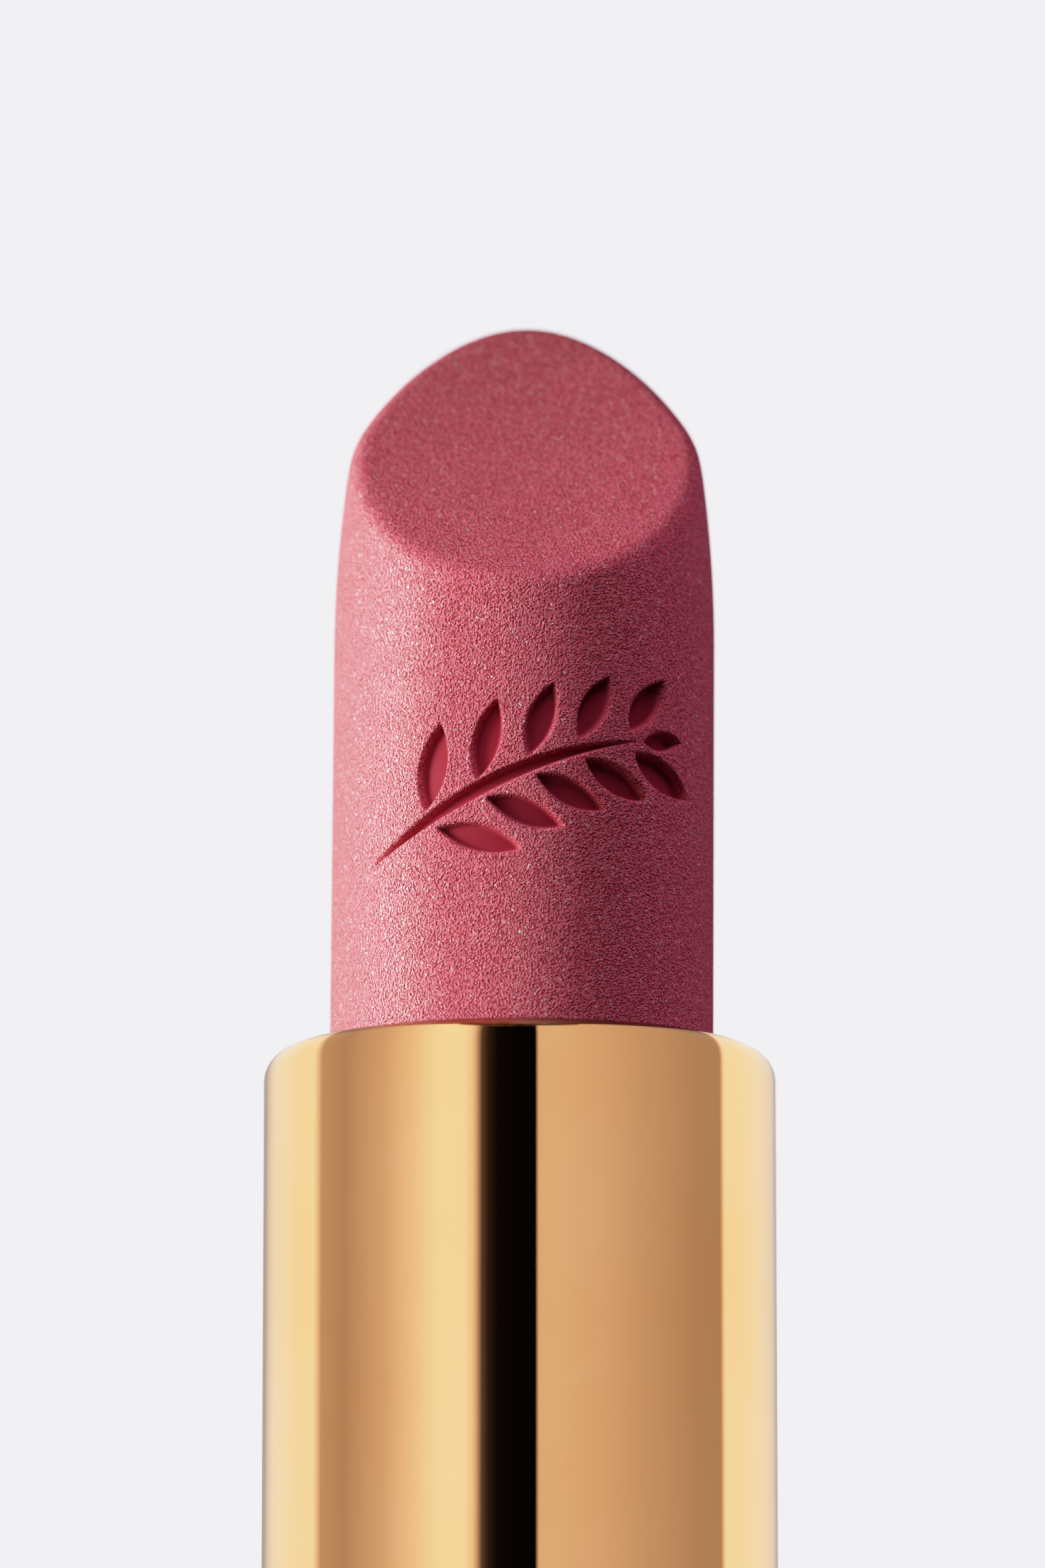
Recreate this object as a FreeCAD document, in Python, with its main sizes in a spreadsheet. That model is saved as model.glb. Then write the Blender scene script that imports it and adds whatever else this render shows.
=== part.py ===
import FreeCAD, Part
import math
import os
import Sketcher

# Twist-up lipstick case, millimetres, +Z up, origin at the middle of the foot.
# It stands open: the bullet is fully raised and the cap is pulled off, straight above it.

Vector = FreeCAD.Vector
doc = FreeCAD.newDocument("lipstick_case")
sheet = doc.addObject("Spreadsheet::Sheet", "size")
sheet_rows = []
parts = []


class Dim:
    """A length, with the spreadsheet formula that gives it."""

    def __init__(self, number, formula):
        self.number = float(number)
        self.formula = formula

    def joined(self, other, sign, number):
        return Dim(number, "(%s %s %s)" % (self.formula, sign, other.formula))

    def __add__(self, other):
        other = as_dim(other)
        return self.joined(other, "+", self.number + other.number)

    def __sub__(self, other):
        other = as_dim(other)
        return self.joined(other, "-", self.number - other.number)

    def __mul__(self, other):
        other = as_dim(other)
        return self.joined(other, "*", self.number * other.number)

    def __truediv__(self, other):
        other = as_dim(other)
        return self.joined(other, "/", self.number / other.number)


def as_dim(value):
    if isinstance(value, Dim):
        return value
    return Dim(value, "(%.6f)" % value)


def trig(function, name, angle):
    """Sine or cosine of an angle cell in degrees."""
    return Dim(function(math.radians(angle.number)), "%s(%s * 1 deg)" % (name, angle.formula))


def cell(alias, number, note):
    """Puts one driving dimension in the spreadsheet."""
    sheet_rows.append(alias)
    row = len(sheet_rows)
    sheet.set("A%d" % row, alias)
    sheet.set("B%d" % row, "%g" % number)
    sheet.set("C%d" % row, note)
    sheet.setAlias("B%d" % row, alias)
    return Dim(number, "size." + alias)


# ---------------------------------------------------------------- driving dimensions
case_r = cell("case_radius", 10.0, "outside of base and cap")
wall = cell("wall", 0.5, "drawn metal of base and cap")
edge_round = cell("edge_round", 0.6, "rounding of foot and cap top")
rim_round = cell("rim_round", 0.15, "rounding of open rims")
base_height = cell("base_height", 27.0, "foot to shoulder")
case_height = cell("case_height", 77.0, "foot to cap top, closed")
cap_gap = cell("cap_gap", 0.05, "cap rim above the shoulder, closed")
cap_lift = cell("cap_lift", 59.6, "how far the cap is pulled off")
end_wall = cell("end_wall", 0.8, "closed end of base and cap")
groove_z = cell("groove_height", 2.4, "decor groove, from the shoulder")
groove_w = cell("groove_width", 0.36, "decor groove width")
groove_d = cell("groove_depth", 0.15, "decor groove depth")

recess_r = cell("foot_recess_radius", 7.4, "label recess in the foot")
recess_d = cell("foot_recess_depth", 0.4, "label recess in the foot")
label_r = cell("label_radius", 7.2, "shade label")
label_h = cell("label_height", 0.25, "shade label")

sleeve_r = cell("sleeve_radius", 8.0, "outside of the sleeve")
sleeve_wall = cell("sleeve_wall", 0.28, "drawn metal of the sleeve")
sleeve_top = cell("sleeve_top", 49.0, "foot to sleeve rim")
sleeve_bottom = cell("sleeve_bottom", 16.3, "lower edge of the sleeve")
shoulder_round = cell("shoulder_round", 0.95, "rounded shoulder of the sleeve")
mouth_r = cell("mouth_radius", 6.45, "opening of the sleeve")
mouth_return = cell("mouth_return", 1.0, "rolled-in lip of the mouth")

running = cell("running_gap", 0.06, "radial gap of turning and sliding fits")
snug = cell("snug_gap", 0.05, "gap of fixed fits")
play = cell("washer_play", 0.02, "axial gap under the thrust washer")
overcut = cell("overcut", 0.5, "how far a cut starts outside the material")

cup_r = cell("cup_radius", 6.5, "outside of the bullet cup")
cup_h = cell("cup_length", 9.8, "bullet cup")
cup_top = cell("cup_top", 47.8, "foot to cup rim, raised")
cup_floor = cell("cup_floor", 0.8, "floor of the cup")
lug_r = cell("lug_radius", 0.8, "drive pins of the cup")
lug_reach = cell("lug_reach", 7.36, "drive pins, from the axis")
lug_z = cell("lug_height", 2.0, "drive pins above the cup's underside")

travel = cell("travel", 24.6, "stroke of the bullet")
turns = cell("turns", 1.5, "turns of the sleeve for the stroke")

guide_wall = cell("guide_wall", 0.44, "guide tube")
slot_w = cell("slot_width", 1.8, "guide slots and spiral grooves")
cam_outer = cell("cam_radius", 7.7, "outside of the spiral")
groove_floor = cell("spiral_floor", 7.42, "depth of the spiral grooves, from the axis")
cam_top = cell("cam_top", 46.75, "foot to top of the spiral")
ring_room = cell("ring_room", 1.0, "widened bore of the spiral, past the friction rings")

foot_z = cell("guide_foot", 8.2, "foot to underside of the guide tube")
guide_foot_h = cell("guide_foot_height", 5.2, "foot flange of the guide tube")
guide_foot_r = cell("guide_foot_radius", 8.2, "foot flange of the guide tube")
guide_vent = cell("guide_vent_radius", 2.5, "air hole in the floor of the guide tube")
guide_floor = cell("guide_floor", 1.0, "floor of the guide tube")
guide_floor_sink = cell("guide_floor_sink", 0.5, "top of the foot flange to the floor")
guide_rise = cell("guide_rise", 0.65, "guide tube above the spiral")
bead_reach = cell("bead_reach", 0.3, "bead that holds the spiral down")
bead_h = cell("bead_height", 0.5, "bead that holds the spiral down")
grip_reach = cell("grip_reach", 0.12, "grip ribs of the foot flange")
ring_section = cell("ring_section", 0.28, "half the thickness of a friction ring")
ring_centre = cell("ring_centre", 7.12, "friction ring, from the axis")
ring_low_z = cell("ring_low_height", 42.8, "foot to lower friction ring")
ring_pitch = cell("ring_pitch", 2.2, "between the friction rings")
ring_gap = cell("ring_gap", 0.01, "seat of a friction ring, below the ring")

liner_r = cell("liner_radius", 9.45, "outside of the base liner")
liner_bore = cell("liner_bore", 8.15, "bore of the base liner")
liner_floor = cell("liner_floor", 1.0, "floor of the base liner")
liner_vent = cell("liner_vent_radius", 3.0, "air hole in the floor of the base liner")
bore_step = cell("bore_step", 0.2, "socket and magnet, wider than the liner's bore")
skirt = cell("skirt_depth", 5.8, "liner wall round the steel slug")
neck_r = cell("neck_radius", 9.42, "collar that the cap slides over")
neck_rise = cell("neck_rise", 1.5, "collar above the shoulder")
neck_sink = cell("neck_sink", 1.0, "collar below the shoulder")
neck_wall = cell("neck_wall", 0.4, "drawn metal of the collar")
neck_bore = cell("neck_bore", 8.12, "inside of the collar")
magnet_seat = cell("magnet_seat", 0.6, "underside of the collar to the magnet")
washer_t = cell("washer_thickness", 0.4, "thrust washer")

flange_z = cell("flange_height", 1.65, "cap rim to the flange of its liner")
flange_t = cell("flange_thickness", 0.3, "flange of the cap liner")
keeper_h = cell("keeper_height", 2.0, "steel ring above the flange")
cap_weight_h = cell("cap_weight_height", 1.4, "steel disc in the cap top")
cap_bore = cell("cap_bore", 8.35, "bore of the cap liner")
cap_rib_r = cell("cap_rib_radius", 8.06, "ribs of the cap liner, from the axis")
cap_liner_r = cell("cap_liner_radius", 8.9, "outside of the cap liner")
cap_rib_top = cell("cap_rib_top", 21.0, "top of the inner ribs, above the flange")
cap_roof = cell("cap_roof", 74.0, "foot to roof of the cap liner, closed")
roof_t = cell("roof_thickness", 0.6, "roof of the cap liner")
inlay_r = cell("inlay_radius", 8.7, "recess in the cap top")
inlay_d = cell("inlay_depth", 0.35, "recess in the cap top")
inlay_ring = cell("inlay_ring_radius", 6.26, "decor ring of the inlay")
rib_w = cell("rib_width", 0.8, "moulded ribs")
rib_root = cell("rib_root", 0.1, "how far a rib is rooted in its tube")
rib_margin = cell("rib_margin", 0.4, "plain wall above and below the ribs")

bullet_r = cell("bullet_radius", 6.0, "cast colour stick")
bullet_bore = cell("bullet_bore", 6.05, "inside of the cup")
straight_h = cell("straight_height", 23.0, "straight side of the stick")
ogive_h = cell("ogive_height", 6.2, "gentle arc above the straight side")
ogive_r = cell("ogive_radius", 42.0, "gentle arc above the straight side")
crown_r = cell("crown_radius", 3.0, "tight arc above the gentle one")
cone_angle = cell("cone_angle", 26.0, "cone above the tight arc, degrees from the axis")
slant_z = cell("slant_height", 30.17, "slant face on the axis, above the stick's foot")
slant_angle = cell("slant_angle", 49.1, "slant face on the axis, degrees from level")
hollow_r = cell("hollow_radius", 55.0, "hollow of the slant face")
slant_round = cell("slant_round", 0.15, "edge of the slant face")
motif_d = cell("motif_depth", 0.28, "depth of the pressed sprig")
motif_z = cell("motif_height", 17.9, "middle of the sprig above the stick's foot")
motif_reach = cell("motif_reach", 4.2, "plain band above and below the sprig's middle")

# ---------------------------------------------------------------- sketch helpers
def new_body(label, height):
    """An empty body whose underside stands at the given height."""
    body = doc.addObject("PartDesign::Body", label)
    body.Label = label
    body.setExpression("Placement.Base.z", as_dim(height).formula)
    parts.append(body)
    return body


def new_sketch(body, role):
    """An empty sketch on one of the body's origin planes."""
    sketch = body.newObject("Sketcher::SketchObject", body.Label + "_" + role[:2].lower())
    plane = [item for item in body.Origin.OriginFeatures if item.Role == role][0]
    sketch.AttachmentSupport = [(plane, "")]
    sketch.MapMode = "FlatFace"
    return sketch


def drive(sketch, kind, where, value):
    """Adds a dimension to a sketch and binds it to the sheet."""
    value = as_dim(value)
    index = sketch.addConstraint(Sketcher.Constraint(kind, *where, value.number))
    sketch.setExpression("Constraints[%d]" % index, value.formula)


def pin_point(sketch, shape, end, x, y):
    """Dimensions one end of a line or arc from the sketch's origin."""
    drive(sketch, "DistanceX", (-1, 1, shape, end), x)
    drive(sketch, "DistanceY", (-1, 1, shape, end), y)


def direction(start, end):
    """Unit step between two points of a square-cornered outline."""
    dx = end[0].number - start[0].number
    dy = end[1].number - start[1].number
    length = math.hypot(dx, dy)
    return dx / length, dy / length


def shifted(point, step, distance):
    """The point moved along a square step."""
    x, y = point
    if abs(step[0]) > 0.5:
        x = x + distance if step[0] > 0 else x - distance
    if abs(step[1]) > 0.5:
        y = y + distance if step[1] > 0 else y - distance
    return x, y


def outline_points(corners):
    """Splits rounded corners in two; gives (point, radius, turns left) for each."""
    points = []
    count = len(corners)
    for index, corner in enumerate(corners):
        here = (as_dim(corner[0]), as_dim(corner[1]))
        if len(corner) < 3:
            points.append((here, None, True))
            continue
        before = [as_dim(value) for value in corners[index - 1][:2]]
        after = [as_dim(value) for value in corners[(index + 1) % count][:2]]
        arriving = direction(before, here)
        leaving = direction(here, after)
        backwards = (-arriving[0], -arriving[1])
        left = arriving[0] * leaving[1] - arriving[1] * leaving[0] > 0
        points.append((shifted(here, backwards, corner[2]), corner[2], left))
        points.append((shifted(here, leaving, corner[2]), None, True))
    return points


def quarter(start, end, radius, left):
    """Arc of a rounded corner, and which of its ends is the start."""
    chord = end - start
    side = Vector(-chord.y, chord.x, 0).normalize()
    if not left:
        side = side * -1
    centre = (start + end) * 0.5 + side * math.sqrt(max(radius ** 2 - chord.Length ** 2 / 4, 0))
    first, last = (start, end) if left else (end, start)
    circle = Part.Circle(centre, Vector(0, 0, 1), radius)
    arc = Part.ArcOfCircle(circle, circle.parameter(first), circle.parameter(last))
    return arc, (1, 2) if left else (2, 1)


def outline(sketch, corners):
    """Closed outline; a corner is (x, y), or (x, y, radius) where it is rounded."""
    points = outline_points(corners)
    ends = []
    for index, (start, radius, left) in enumerate(points):
        finish = points[(index + 1) % len(points)][0]
        a = Vector(start[0].number, start[1].number, 0)
        b = Vector(finish[0].number, finish[1].number, 0)
        if radius is None:
            shape = sketch.addGeometry(Part.LineSegment(a, b), False)
            ends.append((shape, 1, 2, None))
        else:
            arc, order = quarter(a, b, radius.number, left)
            shape = sketch.addGeometry(arc, False)
            ends.append((shape, order[0], order[1], radius))
    for index, (shape, first, last, radius) in enumerate(ends):
        after = ends[(index + 1) % len(ends)]
        sketch.addConstraint(Sketcher.Constraint("Coincident", shape, last, after[0], after[1]))
        pin_point(sketch, shape, first, *points[index][0])
        if radius is not None:
            drive(sketch, "Radius", (shape,), radius)


def circle(sketch, x, y, radius):
    """A dimensioned circle."""
    middle = Vector(as_dim(x).number, as_dim(y).number, 0)
    shape = sketch.addGeometry(Part.Circle(middle, Vector(0, 0, 1), as_dim(radius).number), False)
    pin_point(sketch, shape, 3, x, y)
    drive(sketch, "Radius", (shape,), radius)


def arc_chain(sketch, stations):
    """Closed chain of arcs; a station is (x, y, radius to the next one, bends left)."""
    arcs = []
    for index, (x, y, radius, left) in enumerate(stations):
        after = stations[(index + 1) % len(stations)]
        a = Vector(as_dim(x).number, as_dim(y).number, 0)
        b = Vector(as_dim(after[0]).number, as_dim(after[1]).number, 0)
        arc, order = quarter(a, b, as_dim(radius).number, left)
        arcs.append((sketch.addGeometry(arc, False), order))
    for index, (shape, order) in enumerate(arcs):
        after = arcs[(index + 1) % len(arcs)]
        sketch.addConstraint(Sketcher.Constraint("Coincident", shape, order[1], after[0], after[1][0]))
        pin_point(sketch, shape, order[0], stations[index][0], stations[index][1])
        drive(sketch, "Radius", (shape,), stations[index][2])


# ---------------------------------------------------------------- feature helpers
def turned(body, corners, cut=False):
    """Turns an outline, drawn as radius and height, about the body's axis."""
    sketch = new_sketch(body, "XZ_Plane")
    outline(sketch, corners)
    kind = "PartDesign::Groove" if cut else "PartDesign::Revolution"
    feature = body.newObject(kind, body.Label + ("_groove" if cut else "_turned"))
    feature.Profile = sketch
    feature.ReferenceAxis = (sketch, ["V_Axis"])
    feature.Angle = 360
    return feature


def extruded(body, sketch, length, cut=False):
    """Pads or pockets a sketch to both sides of its plane; length is the whole width."""
    kind = "PartDesign::Pocket" if cut else "PartDesign::Pad"
    feature = body.newObject(kind, body.Label + ("_pocket" if cut else "_pad"))
    feature.Profile = sketch
    feature.SideType = "Symmetric"
    feature.Type = "Length"
    feature.setExpression("Length", as_dim(length).formula)
    return feature


def around(body, feature, sketch, count):
    """Repeats a feature evenly about the body's axis."""
    pattern = body.newObject("PartDesign::PolarPattern", body.Label + "_pattern")
    pattern.Originals = [feature]
    pattern.Axis = (sketch, ["V_Axis"])
    pattern.Angle = 360
    pattern.Occurrences = count
    body.Tip = pattern
    return pattern


def ribs(body, inner, outer, low, high, count):
    """Straight ribs between two radii, evenly spaced round a tube."""
    sketch = new_sketch(body, "XZ_Plane")
    outline(sketch, [(inner, low), (outer, low), (outer, high), (inner, high)])
    around(body, extruded(body, sketch, rib_w), sketch, count)


# ---------------------------------------------------------------- base
def make_base_shell():
    """Drawn gold cup with a foot ring, a label recess and one fine decor groove."""
    body = new_body("base_shell", 0)
    inner = case_r - wall
    groove_top = base_height - groove_z
    groove_in = case_r - groove_d
    turned(body, [
        (0, recess_d),
        (recess_r, recess_d),
        (recess_r, 0, rim_round),
        (case_r, 0, edge_round),
        (case_r, groove_top - groove_w),
        (groove_in, groove_top - groove_w),
        (groove_in, groove_top),
        (case_r, groove_top),
        (case_r, base_height, rim_round),
        (inner, base_height, rim_round),
        (inner, end_wall, edge_round),
        (0, end_wall),
    ])


def make_shade_label():
    """Plain round sticker in the foot recess."""
    body = new_body("shade_label", recess_d - label_h)
    turned(body, [(0, 0), (label_r, 0), (label_r, label_h), (0, label_h)])


def make_base_weight():
    """Steel slug between the floor of the base and the floor of its liner."""
    body = new_body("base_weight", end_wall + snug)
    radius = liner_r - wall - snug * 2
    height = foot_z - liner_floor - end_wall - snug * 2
    turned(body, [
        (0, 0),
        (radius, 0, edge_round),
        (radius, height, rim_round),
        (0, height),
    ])


def make_base_liner():
    """Moulded inner base: skirt round the slug, socket for the guide tube, bore for the sleeve."""
    bottom = foot_z - liner_floor - skirt
    body = new_body("base_liner", bottom)
    socket_floor = skirt + liner_floor
    socket_top = socket_floor + guide_foot_h + snug
    socket_r = liner_bore + bore_step
    shelf = base_height - neck_sink - bottom
    step_r = neck_r - neck_wall - snug
    step_top = shelf + magnet_seat
    turned(body, [
        (liner_vent, skirt),
        (liner_r - wall, skirt),
        (liner_r - wall, 0),
        (liner_r, 0),
        (liner_r, shelf),
        (step_r, shelf),
        (step_r, step_top),
        (liner_bore, step_top),
        (liner_bore, socket_top),
        (socket_r, socket_top),
        (socket_r, socket_floor),
        (liner_vent, socket_floor),
    ])


def make_neck_ring():
    """Gold collar on the liner: the cap slides over it, the magnet sits under it."""
    body = new_body("neck_ring", base_height - neck_sink)
    height = neck_rise + neck_sink
    inner = neck_r - neck_wall
    turned(body, [
        (inner, 0),
        (neck_r, 0),
        (neck_r, height, edge_round / 2),
        (neck_bore, height, rim_round),
        (neck_bore, height - neck_wall),
        (inner, height - neck_wall),
    ])


def make_magnet_ring():
    """Closure magnet, hidden under the collar."""
    body = new_body("magnet_ring", base_height - neck_sink + magnet_seat + snug)
    inner = liner_bore + bore_step
    outer = neck_r - neck_wall - snug * 2
    height = neck_rise + neck_sink - neck_wall - magnet_seat - snug * 2
    turned(body, [(inner, 0), (outer, 0), (outer, height), (inner, height)])


def make_guide_tube():
    """Slotted inner tube: it stops the cup from turning, and carries the spiral."""
    body = new_body("guide_tube", foot_z)
    bore = cup_r + running
    outer = bore + guide_wall
    bead = outer + bead_reach
    top = cam_top + guide_rise - foot_z
    floor = guide_foot_h - guide_floor_sink
    seat_r = ring_centre - ring_section - ring_gap
    seat_half = ring_section + ring_gap * 2
    low_ring = ring_low_z - foot_z
    high_ring = low_ring + ring_pitch
    turned(body, [
        (guide_vent, floor - guide_floor),
        (cup_r, floor - guide_floor),
        (cup_r, 0),
        (guide_foot_r, 0),
        (guide_foot_r, guide_foot_h),
        (outer, guide_foot_h),
        (outer, low_ring - seat_half),
        (seat_r, low_ring - seat_half),
        (seat_r, low_ring + seat_half),
        (outer, low_ring + seat_half),
        (outer, high_ring - seat_half),
        (seat_r, high_ring - seat_half),
        (seat_r, high_ring + seat_half),
        (outer, high_ring + seat_half),
        (outer, top - bead_h),
        (bead, top - bead_h),
        (bead, top, rim_round),
        (bore, top, rim_round),
        (bore, floor),
        (guide_vent, floor),
    ])
    slots = new_sketch(body, "YZ_Plane")
    high = cup_top - cup_h + lug_z - foot_z
    low = high - travel
    half = slot_w / 2
    left = as_dim(0) - half
    slot_round = half - rim_round / 2
    outline(slots, [
        (left, low - half, slot_round),
        (half, low - half, slot_round),
        (half, high + half, slot_round),
        (left, high + half, slot_round),
    ])
    extruded(body, slots, bead * 2, cut=True)
    rib_top = guide_foot_h - rib_margin
    ribs(body, guide_foot_r - rib_root, guide_foot_r + grip_reach, rib_margin, rib_top, 12)


def make_friction_ring(label, height):
    """Soft ring between the guide tube and the spiral, which damps the turning."""
    ring = doc.addObject("Part::Torus", label)
    ring.Label = label
    ring.setExpression("Radius1", ring_centre.formula)
    ring.setExpression("Radius2", ring_section.formula)
    ring.setExpression("Placement.Base.z", height.formula)
    parts.append(ring)


def make_thrust_washer():
    """Slippery washer that the spiral turns on."""
    body = new_body("thrust_washer", foot_z + guide_foot_h + play)
    inner = cup_r + running + guide_wall + running + play
    outer = liner_bore - snug
    turned(body, [(inner, 0), (outer, 0), (outer, washer_t), (inner, washer_t)])


# ---------------------------------------------------------------- sleeve
def make_spiral_cam():
    """Moulded tube with two left-handed grooves that the drive pins run in."""
    bottom = foot_z + guide_foot_h + washer_t + play + snug
    body = new_body("spiral_cam", bottom)
    bore = cup_r + running + guide_wall + running
    top = cam_top - bottom
    flange_top = sleeve_bottom - snug - bottom
    recess_low = ring_low_z - ring_room - bottom
    recess_high = recess_low + ring_pitch + ring_room * 2
    turned(body, [
        (bore, 0),
        (sleeve_r, 0, rim_round),
        (sleeve_r, flange_top),
        (cam_outer, flange_top),
        (cam_outer, top),
        (bore, top),
        (bore, recess_high),
        (groove_floor, recess_high),
        (groove_floor, recess_low),
        (bore, recess_low),
    ])
    high = cup_top - cup_h + lug_z - bottom
    low = high - travel
    pitch = travel / turns
    lead = math.atan(pitch.number / (2 * math.pi * bore.number))
    across = slot_w / 2 / math.cos(lead)
    profile = new_sketch(body, "XZ_Plane")
    outline(profile, [
        (bore - overcut, low - across),
        (groove_floor, low - across),
        (groove_floor, low + across),
        (bore - overcut, low + across),
    ])
    groove = body.newObject("PartDesign::SubtractiveHelix", "spiral_groove")
    groove.Profile = profile
    groove.ReferenceAxis = (profile, ["V_Axis"])
    groove.Mode = "pitch-height-angle"
    groove.LeftHanded = True
    groove.setExpression("Pitch", pitch.formula)
    groove.setExpression("Height", travel.formula)
    doc.recompute()
    around(body, groove, profile, 2)
    pockets = new_sketch(body, "YZ_Plane")
    circle(pockets, 0, high, slot_w / 2 + snug)
    circle(pockets, 0, low, slot_w / 2 + snug)
    extruded(body, pockets, (groove_floor + snug) * 2, cut=True)


def make_sleeve_shell():
    """Polished gold tube: rounded shoulder, and a mouth rolled inwards."""
    body = new_body("sleeve_shell", sleeve_bottom)
    top = sleeve_top - sleeve_bottom
    inner = sleeve_r - sleeve_wall
    turned(body, [
        (inner, 0),
        (sleeve_r, 0, rim_round * 0.8),
        (sleeve_r, top, shoulder_round),
        (mouth_r, top, rim_round * 0.8),
        (mouth_r, top - mouth_return),
        (mouth_r + sleeve_wall, top - mouth_return),
        (mouth_r + sleeve_wall, top - sleeve_wall),
        (inner, top - sleeve_wall, shoulder_round - sleeve_wall),
    ])


# ---------------------------------------------------------------- carrier
def make_bullet_cup():
    """Cup that holds the stick, with two drive pins."""
    body = new_body("bullet_cup", cup_top - cup_h)
    turned(body, [(0, 0), (cup_r, 0, rim_round), (cup_r, cup_h, rim_round), (0, cup_h)])
    lugs = new_sketch(body, "YZ_Plane")
    circle(lugs, 0, lug_z, lug_r)
    extruded(body, lugs, lug_reach * 2)
    turned(body, [
        (0, cup_floor),
        (bullet_bore, cup_floor),
        (bullet_bore, cup_h + overcut),
        (0, cup_h + overcut),
    ], cut=True)


def make_lipstick_bullet():
    """Cast stick: straight, then an ogive, cut off by a slightly hollow slant face."""
    body = new_body("lipstick_bullet", cup_top - cup_h + cup_floor)
    turn_stick(body)
    slant = new_sketch(body, "YZ_Plane")
    middle_y = as_dim(0) - hollow_r * trig(math.sin, "sin", slant_angle)
    middle_z = slant_z + hollow_r * trig(math.cos, "cos", slant_angle)
    circle(slant, middle_y, middle_z, hollow_r)
    face = extruded(body, slant, case_r * 2, cut=True)
    doc.recompute()
    edges = slant_edges(face.Shape)
    soften = body.newObject("PartDesign::Fillet", "slant_edge")
    soften.Base = (face, edges)
    soften.setExpression("Radius", slant_round.formula)
    doc.recompute()
    press_sprig(body)


def turn_stick(body):
    """Foot, straight side, gentle arc, tight arc and a cone to the axis, turned about Z."""
    sketch = new_sketch(body, "XZ_Plane")
    r = bullet_r.number
    z1 = straight_h.number
    z2 = z1 + ogive_h.number
    gentle = math.asin(ogive_h.number / ogive_r.number)
    steep = math.radians(cone_angle.number)
    x2 = r - ogive_r.number * (1 - math.cos(gentle))
    crown = Vector(x2 - crown_r.number * math.cos(gentle), z2 - crown_r.number * math.sin(gentle), 0)
    x3 = crown.x + crown_r.number * math.cos(steep)
    z3 = crown.y + crown_r.number * math.sin(steep)
    apex = z3 + x3 / math.tan(steep)
    up = Vector(0, 0, 1)
    wide = Part.Circle(Vector(r - ogive_r.number, z1, 0), up, ogive_r.number)
    tight = Part.Circle(crown, up, crown_r.number)
    foot = sketch.addGeometry(Part.LineSegment(Vector(0, 0, 0), Vector(r, 0, 0)), False)
    side = sketch.addGeometry(Part.LineSegment(Vector(r, 0, 0), Vector(r, z1, 0)), False)
    ogive = sketch.addGeometry(Part.ArcOfCircle(wide, 0, gentle), False)
    shoulder = sketch.addGeometry(Part.ArcOfCircle(tight, gentle, steep), False)
    cone = sketch.addGeometry(Part.LineSegment(Vector(x3, z3, 0), Vector(0, apex, 0)), False)
    axis = sketch.addGeometry(Part.LineSegment(Vector(0, apex, 0), Vector(0, 0, 0)), False)
    rule = Sketcher.Constraint
    sketch.addConstraint(rule("Coincident", foot, 1, -1, 1))
    sketch.addConstraint(rule("Horizontal", foot))
    sketch.addConstraint(rule("Coincident", foot, 2, side, 1))
    sketch.addConstraint(rule("Vertical", side))
    sketch.addConstraint(rule("Tangent", side, 2, ogive, 1))
    sketch.addConstraint(rule("Tangent", ogive, 2, shoulder, 1))
    sketch.addConstraint(rule("Tangent", shoulder, 2, cone, 1))
    sketch.addConstraint(rule("PointOnObject", cone, 2, -2))
    sketch.addConstraint(rule("Coincident", cone, 2, axis, 1))
    sketch.addConstraint(rule("Coincident", axis, 2, foot, 1))
    drive(sketch, "DistanceX", (-1, 1, foot, 2), bullet_r)
    drive(sketch, "DistanceY", (-1, 1, side, 2), straight_h)
    drive(sketch, "DistanceY", (side, 2, ogive, 2), ogive_h)
    drive(sketch, "Radius", (ogive,), ogive_r)
    drive(sketch, "Radius", (shoulder,), crown_r)
    lean = sketch.addConstraint(rule("Angle", cone, math.pi / 2 + steep))
    sketch.setExpression("Constraints[%d]" % lean, "(90 + size.cone_angle) * 1 deg")
    feature = body.newObject("PartDesign::Revolution", "stick_turned")
    feature.Profile = sketch
    feature.ReferenceAxis = (sketch, ["V_Axis"])
    feature.Angle = 360


def slant_edges(shape):
    """Names of the edges round the hollow slant face."""
    for face in shape.Faces:
        surface = face.Surface
        if isinstance(surface, Part.Cylinder) and abs(surface.Radius - hollow_r.number) < 0.01:
            rim = face.Edges
    names = []
    for index, edge in enumerate(shape.Edges):
        if any(edge.isSame(other) for other in rim):
            names.append("Edge%d" % (index + 1))
    return names


# The sprig: a bowed stem that rises to the right, five pairs of leaves and one at the tip.
# x runs to the right of the stick's front, y upwards from the middle of the sprig.
stem_rise, stem_slope, stem_bow = 0.25, 0.42, 0.035
stem_left, stem_right = -4.75, 3.55
stem_under_r, stem_over_r = 17.5, 13.5
leaf_pairs, first_leaf, leaf_step = 5, -3.1, 1.55
leaf_long, leaf_taper, leaf_half = 2.75, 0.18, 0.43
leaf_gap, leaf_spread = 0.45, 48
tip_leaf_x, tip_leaf_long, tip_leaf_half = 3.75, 1.15, 0.32


def stem_height(along):
    return stem_rise + stem_slope * along - stem_bow * along ** 2


def stem_angle(along):
    return math.atan(stem_slope - 2 * stem_bow * along)


def sprig_leaves():
    """Each leaf as its start x and y, length, half width and angle."""
    leaves = []
    for index in range(leaf_pairs):
        along = first_leaf + leaf_step * index
        length = leaf_long - leaf_taper * index
        for side in (1, -1):
            angle = stem_angle(along) + side * math.radians(leaf_spread)
            x = along + leaf_gap * math.cos(angle)
            y = stem_height(along) + leaf_gap * math.sin(angle)
            leaves.append((x, y, length, leaf_half, angle))
    tip_y = stem_height(tip_leaf_x)
    leaves.append((tip_leaf_x, tip_y, tip_leaf_long, tip_leaf_half, stem_angle(tip_leaf_x)))
    return leaves


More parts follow.
